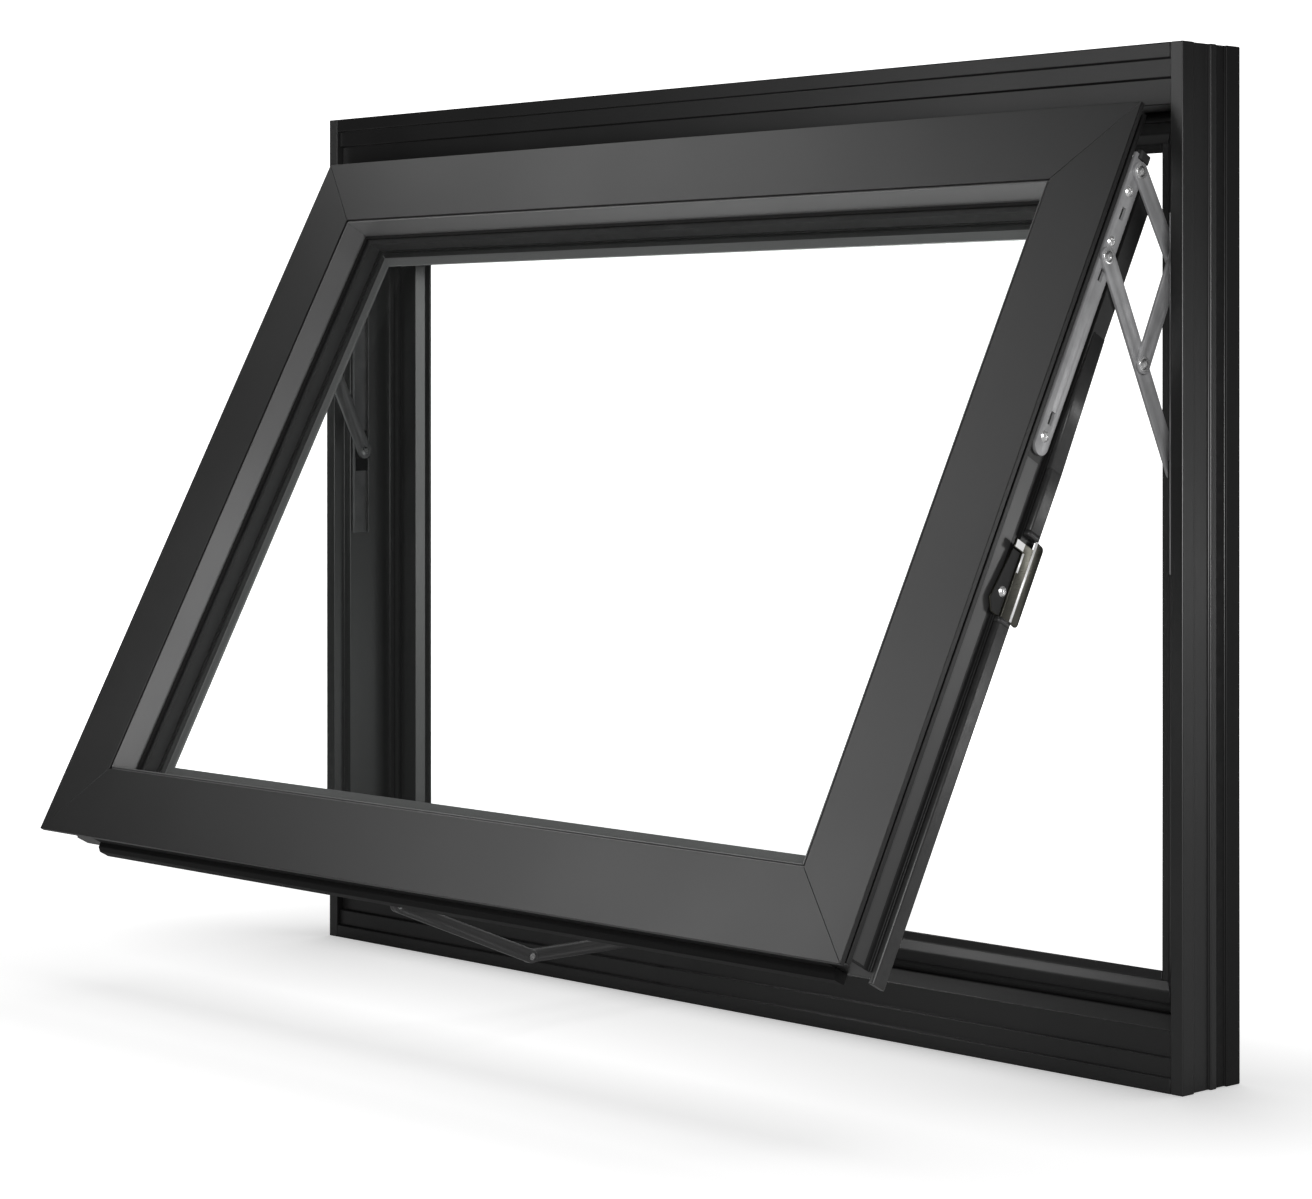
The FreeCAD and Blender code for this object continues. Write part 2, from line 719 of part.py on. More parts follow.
def operator_pieces():
    elbow = elbow_point()
    lower_x = operator_place - operator_plate
    upper_x = operator_place
    base_x = lower_x - operator_plate
    sash_x = upper_x + operator_plate
    pin_radius = operator_pin - pivot_clearance
    pins = [
        across_cylinder(sill_pivot, pin_radius, base_x, operator_place),
        across_cylinder(elbow, pin_radius, lower_x, sash_x),
        across_cylinder(sash_pivot, pin_radius, upper_x, sash_x + operator_plate),
    ]
    return {
        "operator_sill_bracket": sill_bracket(base_x),
        "operator_sash_bracket": sash_bracket(sash_x),
        "operator_lower_arm": link_plate(sill_pivot, elbow, operator_width, operator_plate, lower_x,
                                         (sill_pivot, elbow), operator_pin),
        "operator_upper_arm": link_plate(elbow, sash_pivot, operator_width, operator_plate, upper_x,
                                         (elbow, sash_pivot), operator_pin),
        "operator_pins": Part.makeCompound(pins),
    }


def window():
    """Every piece of the window by name, in its place."""
    pieces = {}
    pieces.update(frame_members())
    pieces.update(frame_seals())
    for group in (sash_members(), glazing_beads(), glass_unit(), stile_strips(), {"drip_bar": drip_bar()}):
        for name, shape in group.items():
            pieces[name] = on_sash(shape)
    pieces.update(friction_stays())
    pieces["right_lock_keeper"] = lock_keeper()
    pieces["left_lock_keeper"] = mirrored(pieces["right_lock_keeper"])
    pieces.update(operator_pieces())
    return pieces


os.makedirs("parts", exist_ok=True)
for node, shape in window().items():
    shape.exportStep("parts/" + node + ".step")
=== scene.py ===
"""A black top hung awning window, sash swung out, dressed for a studio picture. Lengths are in metres."""
import math

import bmesh
import bpy
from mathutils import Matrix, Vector


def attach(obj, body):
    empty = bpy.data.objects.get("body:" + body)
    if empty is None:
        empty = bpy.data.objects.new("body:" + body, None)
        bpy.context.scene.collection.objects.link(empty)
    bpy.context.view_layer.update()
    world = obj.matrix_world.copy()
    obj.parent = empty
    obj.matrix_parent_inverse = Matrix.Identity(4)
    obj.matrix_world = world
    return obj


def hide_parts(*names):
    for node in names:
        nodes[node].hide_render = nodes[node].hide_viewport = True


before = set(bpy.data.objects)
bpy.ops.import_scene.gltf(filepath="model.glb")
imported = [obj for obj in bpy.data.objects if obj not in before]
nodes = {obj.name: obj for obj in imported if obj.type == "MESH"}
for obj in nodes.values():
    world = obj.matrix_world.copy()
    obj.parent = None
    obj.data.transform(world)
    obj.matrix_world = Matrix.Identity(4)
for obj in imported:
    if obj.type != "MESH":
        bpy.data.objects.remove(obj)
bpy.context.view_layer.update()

# The sash's own axes: the middle of its top outside edge, across, in behind its face, and down its face
OPENING = math.radians(28.3)
SASH_TOP = Vector((0, -0.063415, 0.848664))
ACROSS = Vector((1, 0, 0))
BEHIND = Vector((0, math.cos(OPENING), -math.sin(OPENING)))
DOWN = Vector((0, -math.sin(OPENING), -math.cos(OPENING)))
UP = Vector((0, 0, 1))


# Materials

# Texture scales, in waves for each metre
DRIFT_SCALE = 5.0
PEEL_SCALE = 1400.0
BRUSH_SCALE = 900.0
TARNISH_SCALE = 60.0
BLOOM_SCALE = 120.0
GRAIN_SCALE = 2200.0
PANE_WAVE_SCALE = 4.0
FLOOR_TINT_SCALE = 0.6

# The part of a texture's range over which one tone turns into the other
RAMP_START = 0.3
RAMP_END = 0.7

# How a texture is drawn out: not at all, along an axis, or all ways
NO_STRETCH = (1, 1, 1)
ALONG_Y = (1, 0.05, 1)
ALONG_Z = (1, 1, 0.05)
ALL_WAYS = (0.05, 0.05, 0.05)

WHITE = (1, 1, 1, 1)
PANE_TINTS = ((0.97, 0.99, 0.982), (0.985, 0.998, 0.992))
PANE_REFLECTION = (0.12, 0.12, 0.12, 1)
GLASS_IOR = 1.5


def new_material(name):
    """A node material, its node tree and its shader."""
    material = bpy.data.materials.new(name)
    material.use_nodes = True
    tree = material.node_tree
    return material, tree, tree.nodes["Principled BSDF"]


def add_node(tree, kind, **values):
    """A new node with the given values on its sockets."""
    node = tree.nodes.new(kind)
    for name, value in values.items():
        node.inputs[name].default_value = value
    return node


def noise(tree, scale, detail=2.0, stretch=NO_STRETCH):
    """Noise in the object's own space."""
    place = tree.nodes.new("ShaderNodeTexCoord")
    mapping = add_node(tree, "ShaderNodeMapping", Scale=stretch)
    texture = add_node(tree, "ShaderNodeTexNoise", Scale=scale, Detail=detail)
    tree.links.new(place.outputs["Object"], mapping.inputs["Vector"])
    tree.links.new(mapping.outputs["Vector"], texture.inputs["Vector"])
    return texture.outputs["Fac"]


def ramp(tree, factor, low, high):
    """Two colours laid over a factor."""
    node = tree.nodes.new("ShaderNodeValToRGB")
    stops = node.color_ramp.elements
    for stop, position, colour in zip(stops, (RAMP_START, RAMP_END), (low, high)):
        stop.position = position
        stop.color = (*colour, 1.0)
    tree.links.new(factor, node.inputs["Fac"])
    return node.outputs["Color"]


def grey(value):
    return (value, value, value)


def grey_ramp(tree, factor, values):
    """Two greys laid over a factor."""
    low, high = values
    return ramp(tree, factor, grey(low), grey(high))


def bump(tree, shader, factor, strength, distance):
    node = add_node(tree, "ShaderNodeBump", Strength=strength, Distance=distance)
    tree.links.new(factor, node.inputs["Height"])
    tree.links.new(node.outputs["Normal"], shader.inputs["Normal"])


def powder_coat(name, tones, rough, specular):
    """Satin powder coat: fine orange peel, a slow drift of tone and of gloss."""
    material, tree, shader = new_material(name)
    drift = noise(tree, DRIFT_SCALE, detail=3.0)
    peel = noise(tree, PEEL_SCALE)
    tree.links.new(grey_ramp(tree, drift, tones), shader.inputs["Base Color"])
    tree.links.new(grey_ramp(tree, drift, rough), shader.inputs["Roughness"])
    shader.inputs["Specular IOR Level"].default_value = specular
    bump(tree, shader, peel, strength=0.12, distance=0.0002)
    return material


def brushed_metal(name, dark, light, rough, stretch, metallic=1.0):
    """Satin steel with fine lines where it is stretched, and a little tarnish."""
    material, tree, shader = new_material(name)
    lines = noise(tree, BRUSH_SCALE, detail=3.0, stretch=stretch)
    tarnish = noise(tree, TARNISH_SCALE, detail=3.0)
    tree.links.new(ramp(tree, tarnish, dark, light), shader.inputs["Base Color"])
    tree.links.new(grey_ramp(tree, lines, rough), shader.inputs["Roughness"])
    shader.inputs["Metallic"].default_value = metallic
    bump(tree, shader, lines, strength=0.1, distance=0.0001)
    return material


def rubber(name, tones, rough=(0.6, 0.8), specular=0.3):
    """Rubber or nylon with a dusty bloom, matt unless it is given a sheen."""
    material, tree, shader = new_material(name)
    bloom = noise(tree, BLOOM_SCALE, detail=3.0)
    tree.links.new(grey_ramp(tree, bloom, tones), shader.inputs["Base Color"])
    tree.links.new(grey_ramp(tree, bloom, rough), shader.inputs["Roughness"])
    shader.inputs["Specular IOR Level"].default_value = specular
    bump(tree, shader, noise(tree, GRAIN_SCALE), strength=0.15, distance=0.0001)
    return material


def clear_glass(name):
    """Clear float glass, with a faint green in its depth."""
    material, tree, shader = new_material(name)
    wave = noise(tree, PANE_WAVE_SCALE, detail=1.0)
    tree.links.new(ramp(tree, wave, *PANE_TINTS), shader.inputs["Base Color"])
    shader.inputs["Transmission Weight"].default_value = 1.0
    shader.inputs["Roughness"].default_value = 0.0
    shader.inputs["IOR"].default_value = GLASS_IOR
    shader.inputs["Specular Tint"].default_value = PANE_REFLECTION
    return material


FRAME_COAT = powder_coat("frame_black", tones=(0.012, 0.016), rough=(0.40, 0.46), specular=0.45)
SASH_COAT = powder_coat("sash_black", tones=(0.014, 0.018), rough=(0.38, 0.44), specular=0.5)
# A darker, matter copy of the black coat: painted shade on the drip bar and the jambs' back ribs
PAINTED_SHADE_COAT = powder_coat("black_painted_shade", tones=(0.010, 0.013), rough=(0.55, 0.62), specular=0.15)
# The beads' coat: a grey far lighter than the sash's black, as painted light on the beads
BEAD_PAINTED_LIGHT_COAT = powder_coat("bead_black_painted_light", tones=(0.115, 0.135), rough=(0.34, 0.40), specular=0.6)
# The sill ledge's coat: the black made lighter, as painted light on its upward faces
LEDGE_PAINTED_LIGHT_COAT = powder_coat("ledge_painted_light", tones=(0.055, 0.068), rough=(0.42, 0.48), specular=0.45)
CHANNEL_COAT = powder_coat("channel_grey", tones=(0.06, 0.075), rough=(0.34, 0.42), specular=0.7)
# The rear lip's coat: a pale grey on the black lip, as painted light
LIP_PAINTED_LIGHT_COAT = powder_coat("rear_lip_painted_light", tones=(0.17, 0.20), rough=(0.40, 0.46), specular=0.5)
OPERATOR_COAT = powder_coat("operator_grey", tones=(0.06, 0.08), rough=(0.34, 0.42), specular=0.6)
STEEL = brushed_metal("stay_satin_steel", (0.27, 0.27, 0.275), (0.34, 0.34, 0.345),
                      rough=(0.34, 0.46), stretch=ALONG_Z, metallic=0.4)
RIVET_STEEL = brushed_metal("rivet_steel", grey(0.68), grey(0.80),
                            rough=(0.22, 0.32), stretch=NO_STRETCH, metallic=0.8)
KEEPER_STEEL = brushed_metal("keeper_plated_steel", (0.105, 0.103, 0.088), (0.15, 0.147, 0.126),
                             rough=(0.26, 0.36), stretch=ALONG_Y)
# The keeper's bends: near white, a painted highlight along each bend
BEND_HIGHLIGHT_STEEL = brushed_metal("keeper_bends_painted_highlight", grey(0.85), grey(0.92),
                           rough=(0.36, 0.42), stretch=ALL_WAYS, metallic=0.4)
SEAL = rubber("seal_rubber", tones=(0.008, 0.013))
STRIP = rubber("strip_rubber", tones=(0.045, 0.06), rough=(0.34, 0.40), specular=0.7)
SPACER = rubber("spacer_black", tones=(0.04, 0.05))
NYLON = rubber("black_nylon", tones=(0.014, 0.02))
PALE_NYLON = rubber("pale_nylon", tones=(0.62, 0.70))
GLASS = clear_glass("clear_glass")


# Pieces with eased edges that stand for the CAD sections and plates

# Edge rounding: its widths, its steps, and what counts as sharp, as flat and as one point
FRAME_EDGE = 0.001
SECTION_EDGE = 0.0009
PLATE_EDGE = 0.0004
EDGE_STEPS = 2
SHARP_ANGLE = math.radians(32)
FLAT_ANGLE = math.radians(0.5)
ONE_POINT = 1e-6

# The sill's ledge, which takes painted light: how far it faces up, and between which heights it lies
LEDGE_FACING = 0.9
LEDGE_LOW = 0.050
LEDGE_HIGH = 0.056

# The jambs' back rib, which takes painted shade: further out and further back than this
RIB_OUT = 0.5885
RIB_BACK = 0.0175

# The front of the sash's lip behind the glass, which takes painted light: what holds it, in the sash's own
# axes
LIP_HALF_WIDTH = 0.50
LIP_TOP = 0.085
LIP_BOTTOM = 0.72
LIP_FRONT = 0.056
LIP_BACK = 0.0625
LIP_FACING = 0.5

SIDES = (("right", 1), ("left", -1))

pieces = {}


def shown(form, name, material, slot, *replaced):
    """An object from a finished form, riding on the window's one body."""
    mesh = bpy.data.meshes.new(name)
    form.to_mesh(mesh)
    form.free()
    mesh.materials.append(material)
    piece = bpy.data.objects.new(name, mesh)
    bpy.context.scene.collection.objects.link(piece)
    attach(piece, "root")
    if replaced:
        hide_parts(*replaced)
    pieces[name] = piece
    return piece


def eased(node_name, material, slot, width, rounded=False, other=None, test=None):
    """A copy of a node with its sharp edges rounded, shown in the node's place.

    Faces that pass the test, where there is one, take the other material.
    """
    form = bmesh.new()
    form.from_mesh(nodes[node_name].data)
    bmesh.ops.remove_doubles(form, verts=form.verts, dist=ONE_POINT)
    bmesh.ops.dissolve_limit(form, angle_limit=FLAT_ANGLE, verts=form.verts, edges=form.edges)
    sharp = [edge for edge in form.edges if edge.calc_face_angle(0.0) > SHARP_ANGLE]
    for face in form.faces:
        face.smooth = rounded and any(edge.calc_face_angle(0.0) < SHARP_ANGLE for edge in face.edges)
    made = bmesh.ops.bevel(form, geom=sharp, offset=width, offset_type="OFFSET", segments=EDGE_STEPS,
                           profile=0.5, affect="EDGES", clamp_overlap=True)
    for face in made["faces"]:
        face.smooth = True
    bmesh.ops.remove_doubles(form, verts=form.verts, dist=ONE_POINT)
    for face in form.faces:
        face.material_index = int(test is not None and test(face))
    piece = shown(form, node_name + "_eased", material, slot, node_name)
    if other:
        piece.data.materials.append(other)
    return piece


def dress(node_name, material):
    """A node that keeps its own mesh and takes a finished material."""
    node = nodes[node_name]
    node.data.materials.clear()
    node.data.materials.append(material)


def is_painted_light_ledge(face):
    """The sill's flat rebate under the sash, whose upward faces take a lighter coat as painted light."""
    return face.normal.z > LEDGE_FACING and LEDGE_LOW < face.calc_center_median().z < LEDGE_HIGH


def is_shaded_back_rib(face):
    """The rib of a jamb that goes against the wall, behind the dark strip in the groove; it takes the darker
    coat as painted shade.
    """
    middle = face.calc_center_median()
    return abs(middle.x) > RIB_OUT and middle.y > RIB_BACK


def is_painted_light_rear_lip(face):
    """The front of the sash's lip behind the glass, which takes a pale coat as painted light."""
    place = face.calc_center_median() - SASH_TOP
    inside = abs(place.x) < LIP_HALF_WIDTH and LIP_TOP < place.dot(DOWN) < LIP_BOTTOM
    return inside and LIP_FRONT < place.dot(BEHIND) < LIP_BACK and face.normal.dot(BEHIND) < LIP_FACING


def dress_frame():
    """The four frame sections and their seals."""
    eased("frame_head", FRAME_COAT, "frame_coat", FRAME_EDGE)
    eased("frame_sill", FRAME_COAT, "frame_coat", FRAME_EDGE, other=LEDGE_PAINTED_LIGHT_COAT, test=is_painted_light_ledge)
    for name in ("frame_left_jamb", "frame_right_jamb"):
        eased(name, FRAME_COAT, "frame_coat", FRAME_EDGE, other=PAINTED_SHADE_COAT, test=is_shaded_back_rib)
    for name in ("frame_top_seal", "frame_bottom_seal", "frame_left_seal", "frame_right_seal"):
        dress(name, SEAL)


def dress_sash():
    """The sash sections, drip bar, beads, strips and glass unit. Gives back the panes."""
    for name in ("sash_top_rail", "sash_bottom_rail", "sash_left_stile", "sash_right_stile"):
        eased(name, SASH_COAT, "sash_coat", SECTION_EDGE, other=LIP_PAINTED_LIGHT_COAT, test=is_painted_light_rear_lip)
    # The drip bar takes the darker coat as painted shade
    eased("drip_bar", PAINTED_SHADE_COAT, "sash_coat", SECTION_EDGE)
    for name in ("bead_top", "bead_bottom", "bead_left", "bead_right"):
        eased(name, BEAD_PAINTED_LIGHT_COAT, "bead_coat", PLATE_EDGE)
    for name in ("outer_gasket", "inner_gasket"):
        dress(name, SEAL)
    for name in ("right_stile_strip", "left_stile_strip"):
        eased(name, STRIP, "seal_rubber", PLATE_EDGE, rounded=True)
    dress("pane_spacer", SPACER)
    panes = [eased(name, GLASS, "clear_glass", PLATE_EDGE) for name in ("outer_pane", "inner_pane")]
    for pane in panes:
        pane.visible_shadow = False
    return panes


def dress_fittings():
    """The two stays, the two keepers and the folding arm."""
    for side in ("left", "right"):
        for part in ("track", "sash_bar", "short_arm", "long_arm", "cross_arm"):
            eased(side + "_stay_" + part, STEEL, "stay_steel", PLATE_EDGE, rounded=True)
        dress(side + "_stay_rivets", RIVET_STEEL)
        for part in ("bar_cap", "shoe"):
            eased(side + "_stay_" + part, NYLON, "black_nylon", PLATE_EDGE, rounded=True)
        eased(side + "_lock_keeper", KEEPER_STEEL, "keeper_steel", PLATE_EDGE, rounded=True)
    for part in ("sill_bracket", "sash_bracket", "lower_arm", "upper_arm"):
        eased("operator_" + part, OPERATOR_COAT, "operator_coat", PLATE_EDGE, rounded=True)
    dress("operator_pins", RIVET_STEEL)


# Small pieces: screws, rivet collars, the keeper's bends, screw, pad and cover, strips, liners and seals

# Turned heads: steps, (radius, height) profiles, and a driver's cross in shares of its screw's size
TURN_STEPS = 32
DOME_STEPS = 16
DOME_CURVE = 1.6
DOME_FIRST_STEP = 0.1
CROSS_HALF_WIDTH = 0.16
CROSS_REACH = 0.6
CROSS_DEPTH = 0.45
COLLAR_WASHER = ((0.0050, 0.0006), (0.0064, 0.0006), (0.0068, 0.0003), (0.0068, 0.0))
COLLAR_DOME = ((0.0002, 0.0024), (0.0012, 0.00232), (0.0023, 0.00205), (0.0030, 0.0016))

# Screw heads, as radius and height
BAR_SCREW = (0.0050, 0.0022)
KEEPER_SCREW = (0.0046, 0.0022)
OPERATOR_SCREW = (0.0040, 0.0018)

# The stay: its bar's face across the sash, screws as (behind, down), and rivets in the frame's own axes
BAR_FACE = 0.556
BAR_SCREW_PLACES = ((0.0285, 0.0725), (0.0280, 0.1220), (0.0295, 0.3080))
RIVET_PLACES = ((0.559, -0.05999, 0.78890), (0.559, -0.10398, 0.71500), (0.562, -0.05999, 0.62408))

# The keeper: bends as (behind, top, bottom, radius), other places as (behind, down) on a face across the sash
BEND_STEPS = 10
BEND_FACE = 0.5605
BENDS = ((0.0572, 0.3925, 0.4655, 0.0013), (0.0460, 0.4085, 0.4260, 0.0010))
KEEPER_SCREW_FACE = 0.5581
KEEPER_SCREW_PLACE = (0.0400, 0.4460)
PAD_FACE = 0.5607
PAD_CORNER = (0.0338, 0.4006)
PAD_SIZE = (0.0105, 0.0068)
PAD_THICKNESS = 0.0005
COVER_FACE = 0.5577
COVER_OUTLINE = ((0.0356, 0.4086), (0.0446, 0.4086), (0.0446, 0.4654), (0.0354, 0.4654), (0.0288, 0.4560))
COVER_THICKNESS = 0.0004

# Thin linings: the stile's channel, the frame's outer groove and the seal under the bottom rail
LINING = 0.0006
LINING_EDGE = 0.0002
CHANNEL_FACE = 0.553
CHANNEL_CORNER = (0.0170, 0.3310)
CHANNEL_SIZE = (0.018, 0.445)
GROOVE_FRONT = 0.0045
GROOVE_DEPTH = 0.013
JAMB_GROOVE = 0.587
JAMB_STRIP_FOOT = 0.0005
JAMB_STRIP_LENGTH = 0.899
HEAD_GROOVE = 0.897
SILL_GROOVE = 0.003
RAIL_STRIP_LENGTH = 1.14
RAIL_SEAL_CORNER = (-0.516, 0.0170, 0.778)
RAIL_SEAL_LENGTH = 1.032
RAIL_SEAL_WIDTH = 0.0265
RAIL_SEAL_THICKNESS = 0.0012
RAIL_SEAL_EDGE = 0.0003

# The stile's seal strip: its section, its rounding, and (start, end) places down the sash
STRIP_FOOT = 0.5557
STRIP_FRONT = 0.044
STRIP_BACK = 0.060
STRIP_HEIGHT = 0.0053
STRIP_LOW = 0.0001
STRIP_CURVE = 0.0025
STRIP_CURVE_SHARE = 0.47
STRIP_CURVE_STEPS = 6
STRIP_TAPER = (0.200, 0.3299)
STRIP_TURNS = ((0.3871, 0.3919), (0.4661, 0.4709))

# The folding arm's screws: across the window, on the sill and on the back of the bottom rail
SILL_SCREWS = (-0.102, -0.082)
SILL_SCREW_ROW = -0.021
SILL_SCREW_HEIGHT = 0.056
RAIL_SCREWS = (-0.038, -0.020)
RAIL_SCREW_ROW = (0.063, 0.757)


def on_sash(across, behind, down):
    return SASH_TOP + ACROSS * across + BEHIND * behind + DOWN * down


def turned(form, profile, place, axis, sink=None):
    """A (radius, height) profile turned round an axis, with a recess where one is given."""
    side = axis.orthogonal().normalized()
    other = axis.cross(side)
    rings = []
    for radius, height in profile:
        ring = []
        for step in range(TURN_STEPS):
            turn = 2 * math.pi * step / TURN_STEPS
            a, b = radius * math.cos(turn), radius * math.sin(turn)
            drop = sink(a, b) if sink else 0.0
            ring.append(form.verts.new(place + side * a + other * b + axis * (height - drop)))
        rings.append(ring)
    for inner, outer in zip(rings, rings[1:]):
        for step in range(TURN_STEPS):
            form.faces.new((inner[step - 1], inner[step], outer[step], outer[step - 1])).smooth = True
    return rings


def cross_recess(radius, depth):
    """The drop of a driver's cross in a screw head."""
    def drop(a, b):
        narrow, wide = sorted((abs(a), abs(b)))
        return depth if narrow < radius * CROSS_HALF_WIDTH and wide < radius * CROSS_REACH else 0.0
    return drop


def screw(form, place, axis, radius, height):
    """A domed screw head with a driver's cross."""
    profile = []
    for step in range(DOME_STEPS + 1):
        slope = math.pi / 2 * (step / DOME_STEPS) ** DOME_CURVE
        profile.append((radius * max(step, DOME_FIRST_STEP) / DOME_STEPS, height * math.cos(slope)))
    rings = turned(form, profile, place, axis, cross_recess(radius, height * CROSS_DEPTH))
    form.faces.new(rings[0])


def collar(form, place, axis):
    """The washer round a rivet and the dome on its head."""
    turned(form, COLLAR_WASHER, place, axis)
    rings = turned(form, COLLAR_DOME, place, axis)
    form.faces.new(rings[0])


def slab(form, corner, along, across, up, edge):
    """A thin lining, seal or pad with eased edges."""
    corners = ((0, 0), (1, 0), (1, 1), (0, 1))
    verts = [form.verts.new(corner + up * k + along * i + across * j) for k in (0, 1) for i, j in corners]
    sides = [(0, 1, 2, 3), (7, 6, 5, 4)] + [(k, k + 4, (k + 1) % 4 + 4, (k + 1) % 4) for k in range(4)]
    faces = [form.faces.new([verts[k] for k in side]) for side in sides]
    edges = list({line for face in faces for line in face.edges})
    bmesh.ops.bevel(form, geom=edges, offset=edge, segments=EDGE_STEPS, profile=0.5, affect="EDGES",
                    clamp_overlap=True)


def ridge(form, start, end, up, radius):
    """A half round bend along a line."""
    side = up.cross(end - start).normalized()
    turns = [math.pi * step / BEND_STEPS for step in range(BEND_STEPS + 1)]
    offsets = [side * radius * math.cos(turn) + up * radius * math.sin(turn) for turn in turns]
    rows = [[form.verts.new(place + offset) for offset in offsets] for place in (start, end)]
    for step in range(BEND_STEPS):
        form.faces.new((rows[0][step], rows[0][step + 1], rows[1][step + 1], rows[1][step])).smooth = True
    for row in rows:
        form.faces.new(row)


def plate(form, outline, thickness):
    """A flat plate from its outline's corners."""
    rows = [[form.verts.new(corner + thickness * k) for corner in outline] for k in (0, 1)]
    for row in rows:
        form.faces.new(row)
    for step in range(len(outline)):
        form.faces.new((rows[0][step - 1], rows[0][step], rows[1][step], rows[1][step - 1]))


def strip_outline(height):
    """The (behind, rise) points of the seal strip's section, with its two upper corners rounded."""
    curve = min(STRIP_CURVE, height * STRIP_CURVE_SHARE)
    outline = [(STRIP_FRONT, 0.0)]
    for centre, start in ((STRIP_FRONT + curve, math.pi), (STRIP_BACK - curve, math.pi / 2)):
        for step in range(STRIP_CURVE_STEPS + 1):
            turn = start - math.pi / 2 * step / STRIP_CURVE_STEPS
            outline.append((centre + curve * math.cos(turn), height - curve + curve * math.sin(turn)))
    outline.append((STRIP_BACK, 0.0))
    return outline


def strip(form, way, places, heights):
    """A length of the stile's rounded seal strip between two places down the sash."""
    loops = []
    for down, height in zip(places, heights):
        points = [on_sash(way * (STRIP_FOOT + rise), behind, down) for behind, rise in strip_outline(height)]
        loops.append([form.verts.new(point) for point in points])
    first, last = loops
    for step in range(len(first) - 1):
        form.faces.new((first[step], first[step + 1], last[step + 1], last[step])).smooth = True
    form.faces.new(first)
    form.faces.new(last)


def finished(form, name, material, slot):
    """A small piece with all its faces turned outwards."""
    bmesh.ops.recalc_face_normals(form, faces=form.faces)
    return shown(form, name, material, slot)


def stay_details(side, way):
    """Screws on the sash bar, and a collar on each rivet that shows."""
    out = ACROSS * way
    form = bmesh.new()
    for behind, down in BAR_SCREW_PLACES:
        screw(form, on_sash(way * BAR_FACE, behind, down), out, *BAR_SCREW)
    finished(form, side + "_stay_screws", RIVET_STEEL, "stay_steel")
    form = bmesh.new()
    for x, y, z in RIVET_PLACES:
        collar(form, Vector((way * x, y, z)), out)
    finished(form, side + "_stay_collars", RIVET_STEEL, "stay_steel")


def keeper_details(side, way):
    """The keeper's bends, painted near white as highlights, its bright screw, the pad on its tongue and its
    dark cover.
    """
    out = ACROSS * way
    form = bmesh.new()
    for behind, top, bottom, radius in BENDS:
        start, end = (on_sash(way * BEND_FACE, behind, down) for down in (top, bottom))
        ridge(form, start, end, out, radius)
    finished(form, side + "_keeper_bend_highlights", BEND_HIGHLIGHT_STEEL, "keeper_steel")
    form = bmesh.new()
    screw(form, on_sash(way * KEEPER_SCREW_FACE, *KEEPER_SCREW_PLACE), out, *KEEPER_SCREW)
    finished(form, side + "_keeper_screw", RIVET_STEEL, "keeper_steel")
    form = bmesh.new()
    width, height = PAD_SIZE
    corner = on_sash(way * PAD_FACE, *PAD_CORNER)
    slab(form, corner, BEHIND * width, DOWN * height, out * PAD_THICKNESS, LINING_EDGE)
    finished(form, side + "_keeper_pad", PALE_NYLON, "keeper_steel")
    form = bmesh.new()
    outline = [on_sash(way * COVER_FACE, behind, down) for behind, down in COVER_OUTLINE]
    plate(form, outline, out * COVER_THICKNESS)
    finished(form, side + "_keeper_cover", NYLON, "keeper_steel")


def channel_liner(side, way):
    """The pale liner in the stile's channel, below the stay."""
    form = bmesh.new()
    width, height = CHANNEL_SIZE
    corner = on_sash(way * CHANNEL_FACE, *CHANNEL_CORNER)
    slab(form, corner, BEHIND * width, DOWN * height, ACROSS * way * LINING, LINING_EDGE)
    finished(form, side + "_channel_liner", CHANNEL_COAT, "sash_coat")


def strip_ends(side, way):
    """The seal strip's tapered start below the stay, and its turns into the keeper."""
    form = bmesh.new()
    strip(form, way, STRIP_TAPER, (STRIP_LOW, STRIP_HEIGHT))
    for places in STRIP_TURNS:
        strip(form, way, places, (STRIP_HEIGHT, STRIP_HEIGHT))
    finished(form, side + "_strip_ends", STRIP, "seal_rubber")


def groove_strips():
    """A dark strip laid in the groove round the outside of the frame."""
    form = bmesh.new()
    deep = Vector((0, GROOVE_DEPTH, 0))
    for way in (1, -1):
        corner = Vector((way * JAMB_GROOVE, GROOVE_FRONT, JAMB_STRIP_FOOT))
        slab(form, corner, UP * JAMB_STRIP_LENGTH, deep, ACROSS * way * LINING, LINING_EDGE)
    for height, way in ((HEAD_GROOVE, 1), (SILL_GROOVE, -1)):
        corner = Vector((-RAIL_STRIP_LENGTH / 2, GROOVE_FRONT, height))
        slab(form, corner, ACROSS * RAIL_STRIP_LENGTH, deep, UP * way * LINING, LINING_EDGE)
    finished(form, "frame_groove_strips", SEAL, "seal_rubber")


def bottom_seal():
    """The seal in the channel under the bottom rail."""
    form = bmesh.new()
    slab(form, on_sash(*RAIL_SEAL_CORNER), ACROSS * RAIL_SEAL_LENGTH, BEHIND * RAIL_SEAL_WIDTH,
         DOWN * RAIL_SEAL_THICKNESS, RAIL_SEAL_EDGE)
    finished(form, "bottom_channel_seal", SEAL, "seal_rubber")


def operator_screws():
    """The screws of the folding arm's two brackets."""
    form = bmesh.new()
    for across in SILL_SCREWS:
        screw(form, Vector((across, SILL_SCREW_ROW, SILL_SCREW_HEIGHT)), UP, *OPERATOR_SCREW)
    for across in RAIL_SCREWS:
        screw(form, on_sash(across, *RAIL_SCREW_ROW), BEHIND, *OPERATOR_SCREW)
    finished(form, "operator_screws", RIVET_STEEL, "operator_coat")


def small_pieces():
    for side, way in SIDES:
        stay_details(side, way)
        keeper_details(side, way)
        channel_liner(side, way)
        strip_ends(side, way)
    groove_strips()
    bottom_seal()
    operator_screws()


# Studio

